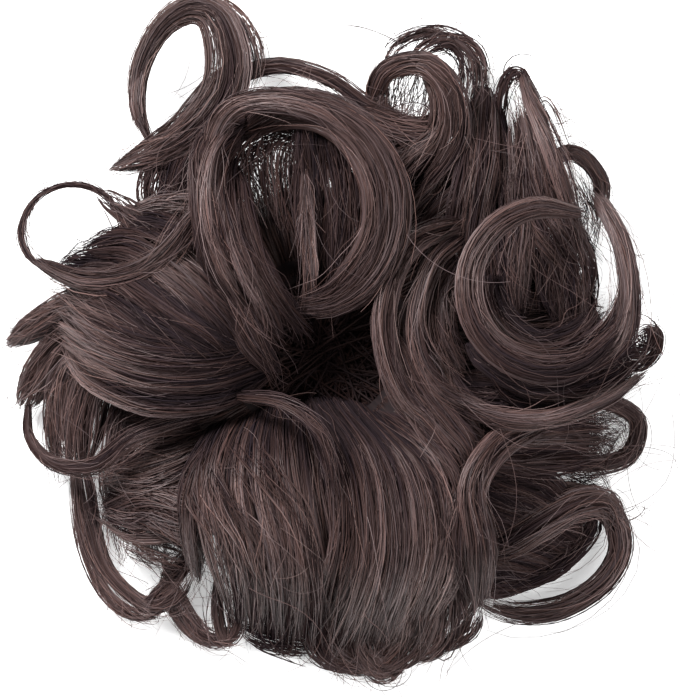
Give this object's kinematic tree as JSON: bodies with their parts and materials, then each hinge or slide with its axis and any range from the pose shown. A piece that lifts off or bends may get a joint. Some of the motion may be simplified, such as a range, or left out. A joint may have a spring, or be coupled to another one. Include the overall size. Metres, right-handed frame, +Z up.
{
  "type": "top knot hairpiece",
  "caption": "Curly messy-bun hairpiece: an elastic band ringed with stitched hair wefts and curled tufts, worn round a ponytail or bun and lying flat when off",
  "frame": {"origin": "middle of the object's box on the flat underside that it lies on", "axes": "+Z up, out of the side that shows when worn; +Y towards the tall loop at the top; X and Y lie in the plane of the underside"},
  "size_m": [0.1526, 0.161, 0.0492],
  "materials": {
    "band": "covered elastic cord, matt black-brown",
    "weft": "dense stitched dark brown hair wefts, matt",
    "hair": "dark brown synthetic hair strands with a soft silky sheen and reddish highlights"
  },
  "bodies": {
    "root": {"elastic_band": "band", "weft_base": "weft", "top_roll": "hair", "right_swirl": "hair", "right_crescent": "hair", "s_lock": "hair", "cleft_lock": "hair", "bottom_fan_right": "hair", "bottom_fan_left": "hair", "left_fan": "hair", "left_loop": "hair", "left_tips": "hair", "tall_loop": "hair", "top_arc": "hair", "right_fall": "hair", "top_curl": "hair", "top_thin_loop": "hair", "right_peak": "hair", "right_under": "hair", "right_upper_loop": "hair", "right_middle": "hair", "right_lower_loop": "hair", "bottom_right_loop": "hair", "bottom_right_fan": "hair", "left_low_loop": "hair", "left_low_tuft": "hair", "left_nest": "hair", "bottom_left_loop": "hair", "bottom_left_arc": "hair", "bottom_curls": "hair"}
  },
  "joints": []
}
